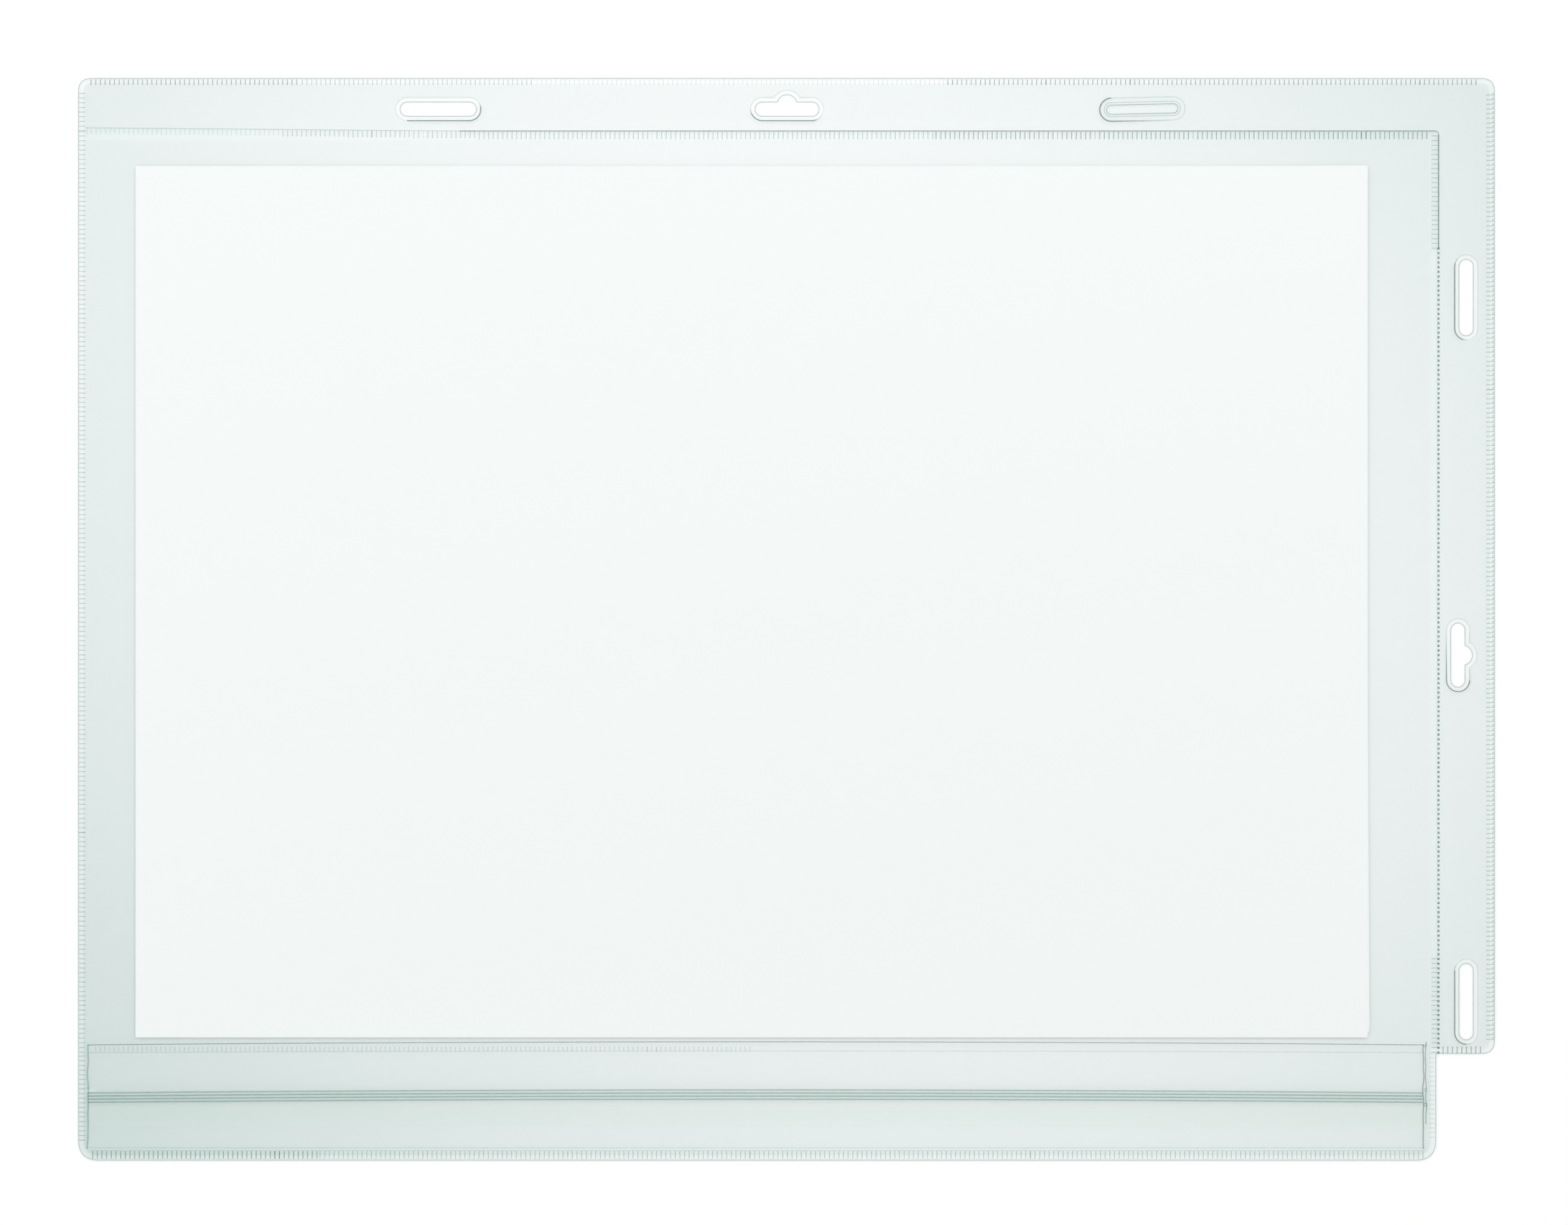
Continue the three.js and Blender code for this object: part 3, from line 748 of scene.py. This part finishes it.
# %% Long strokes
bm = bmesh.new()
cut_z = FRONT_FILM_FACE + 0.01
cut_y = FRONT_TOP - 0.1
cut_x = FRONT_RIGHT - 0.25
TURN = 1.2  # mm, the radius of the cut's corner
FINE_HEIGHT = 0.04  # mm, a stroke lower than the others
LEVEL_FROM = LEFT + 130  # where the cut stops climbing to the left
corner = arc(cut_x - TURN, cut_y - TURN, TURN, math.pi / 2, 0, 6)
foot_lines = [[(LEFT + 4, y), (FOOT_RIGHT - 3.5, y)] for y in (BOTTOM + 3.4, BOTTOM + 4.35)]
for points, width, z, height, shade in (
    ([(LEVEL_FROM, cut_y), (FRONT_RIGHT - TURN, cut_y)], 0.3, cut_z, STROKE_HEIGHT, DARK),
    ([(LEFT + 2.5, cut_y + 1.1), (LEVEL_FROM, cut_y)], 0.25, cut_z, STROKE_HEIGHT, SOFT),
    (corner, 0.3, cut_z, STROKE_HEIGHT, GREY),
    ([(cut_x, BITTEN_BELOW), (cut_x, cut_y - TURN)], 0.36, cut_z, STROKE_HEIGHT, DARK),
    (across_pocket(STRIP_EDGE - 0.1, SEAL_LEFT, SEAL_RIGHT), 0.3, top_z, STROKE_HEIGHT, GREY),
    (across_pocket(FRONT_LOW - 0.1, SEAL_LEFT, SEAL_RIGHT, 0.5), 0.3, top_z, FINE_HEIGHT, FAINT),
    (foot_lines[0], 0.25, over_lower + 0.01, FINE_HEIGHT, FAINT),
    (foot_lines[1], 0.25, over_lower + 0.01, FINE_HEIGHT, FAINT),
):
    add_ribbon(bm, points, width, z, height, shade)
y = NOTCH_TOP + 0.1
while y < TOP - 5:
    if y < BITTEN_BELOW:
        add_bar(bm, (cut_x - 0.4, y, cut_z), (cut_x + 0.32, y + 0.75, cut_z + STROKE_HEIGHT), DARK)
    if y > NOTCH_TOP + 4:
        add_bar(bm, (RIGHT - 0.8, y, cut_z), (RIGHT - 0.5, y + 0.9, cut_z + STROKE_HEIGHT), GREY)
    y += PITCH


def wavering(x, y_low, y_high, seed, reach=0.35, steps=60):
    rows = [y_low + (y_high - y_low) * k / steps for k in range(steps + 1)]
    return [(x + reach * noise.noise(Vector((seed, y / 4, 0.5))), y) for y in rows]


end_z = FOOT_FACE + 0.01
seal_low, seal_high = BOTTOM + 4, STRIP_EDGE
for x, y_low, y_high, seed, width, shade in (
    (SEAL_LEFT, seal_low, seal_high, 1.5, 0.6, SOFT),
    (SEAL_RIGHT, seal_low, seal_high, 7.5, 0.4, GREY),
    (SEAL_RIGHT + 0.9, SEAL_Y - 9, seal_high + 1, 9.5, 0.3, GREY),
):
    add_ribbon(bm, wavering(x, y_low, y_high, seed), width, end_z, STROKE_HEIGHT, shade)
for x, y, size in (
    (SEAL_RIGHT + 0.5, SEAL_Y + 2.6, 0.55),
    (SEAL_RIGHT + 0.7, SEAL_Y - 2.4, 0.7),
    (SEAL_RIGHT + 0.4, seal_high - 0.4, 0.5),
    (SEAL_LEFT + 0.1, SEAL_Y + 3.2, 0.45),
):
    ring = arc(x, y, size * 0.75, 0, 2 * math.pi, 14)
    add_ribbon(bm, ring, size * 0.35, end_z + 0.06, STROKE_HEIGHT, GREY)
finish_piece(bm, "film_edges", LINES)

# %% [markdown]
# The stage is a plain pale floor just below the pocket. Its white is its own colour, with a little
# light of its own that only the camera and mirrors see, so it stays white without more lamp light and
# still takes the pocket's shadow.

# %% Floor
FLOOR_GLOW = 0.18


def seen_directly(tree):
    path = add_node(tree, "ShaderNodeLightPath")
    seen = path.outputs["Is Camera Ray"]
    for kind in ("Is Glossy Ray", "Is Transmission Ray"):
        either = add_node(tree, "ShaderNodeMath", {"operation": "MAXIMUM"}, [seen, path.outputs[kind]])
        seen = either.outputs[0]
    return seen


def floor_material():
    material, tree = new_material("pale_studio_floor")
    lift = add_node(tree, "ShaderNodeMath", {"operation": "MULTIPLY"}, [seen_directly(tree), FLOOR_GLOW])
    surface = add_node(tree, "ShaderNodeBsdfDiffuse", {"Color": linear("#F2F2F2")})
    glow = add_node(tree, "ShaderNodeEmission", {"Color": linear("#FFFFFF")}, Strength=lift.outputs[0])
    both = add_node(tree, "ShaderNodeAddShader", {}, [surface.outputs[0], glow.outputs[0]])
    add_node(tree, "ShaderNodeOutputMaterial", Surface=both.outputs[0])
    return material


bm = bmesh.new()
bmesh.ops.create_grid(bm, x_segments=1, y_segments=1, size=3.0)
bmesh.ops.translate(bm, vec=(0, 0, -0.0003), verts=bm.verts)
floor_mesh = bpy.data.meshes.new("floor")
bm.to_mesh(floor_mesh)
bm.free()
floor_mesh.materials.append(floor_material())
floor = bpy.data.objects.new("floor", floor_mesh)
bpy.context.collection.objects.link(floor)
floor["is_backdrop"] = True
print("floor at", round(floor_mesh.vertices[0].co.z * 1000, 2), "mm")

# %% [markdown]
# The light is plain and soft: an even pale surround and two wide lamps well off to the sides, so
# that neither is mirrored in the film when the camera looks straight down.

# %% Light
scene = bpy.context.scene
world = bpy.data.worlds.new("studio")
scene.world = world
world.use_nodes = True
tree = world.node_tree
tree.nodes.clear()
LIGHT_LEVEL, SEEN_LEVEL = 0.7, 1.0  # what lights the pocket, and what is seen as white
level = add_node(
    tree, "ShaderNodeMapRange", {"To Min": LIGHT_LEVEL, "To Max": SEEN_LEVEL}, Value=seen_directly(tree)
)
surround = add_node(tree, "ShaderNodeBackground", {"Color": linear("#FFFFFF")}, Strength=level.outputs[0])
add_node(tree, "ShaderNodeOutputWorld", Surface=surround.outputs[0])


def lamp(name, place, power, size):
    data = bpy.data.lights.new(name, "AREA")
    data.shape, data.size, data.energy = "SQUARE", size, power
    light = bpy.data.objects.new(name, data)
    light.location = place
    light.rotation_mode = "QUATERNION"
    light.rotation_quaternion = (-Vector(place)).to_track_quat("-Z", "Y")
    bpy.context.collection.objects.link(light)


lamp("key_light", (0.6, 1.5, 1.6), 14, 1.2)
lamp("fill_light", (-1.6, 0.5, 1.4), 7, 1.2)

# %% [markdown]
# The camera looks straight down from 2 m with a long lens, which keeps the sheets almost free of
# perspective. The lens is worked out from the width of floor that the picture shows. A ray passes
# many clear faces on its way, so more of them are allowed than by default.

# %% Camera
PICTURE_WIDTH = 534.56 * MM
HEIGHT = 2.0
camera_data = bpy.data.cameras.new("camera")
camera_data.sensor_width = 36
camera_data.lens = 36 * HEIGHT / PICTURE_WIDTH
camera_data.clip_start, camera_data.clip_end = 0.1, 50
camera = bpy.data.objects.new("camera", camera_data)
camera.location = (-0.857 * MM, 2.325 * MM, HEIGHT)
bpy.context.collection.objects.link(camera)
scene.camera = camera
scene.view_settings.view_transform = "Standard"
scene.cycles.transparent_max_bounces = 48
print("lens:", round(camera_data.lens, 1), "mm")

# %% [markdown]
# The visual model must keep the CAD model's size, so its box is printed.

# %% Size of the visual model
low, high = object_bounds()
print("visual box in mm:", [round(v * 1000, 2) for v in (*low, *high)])
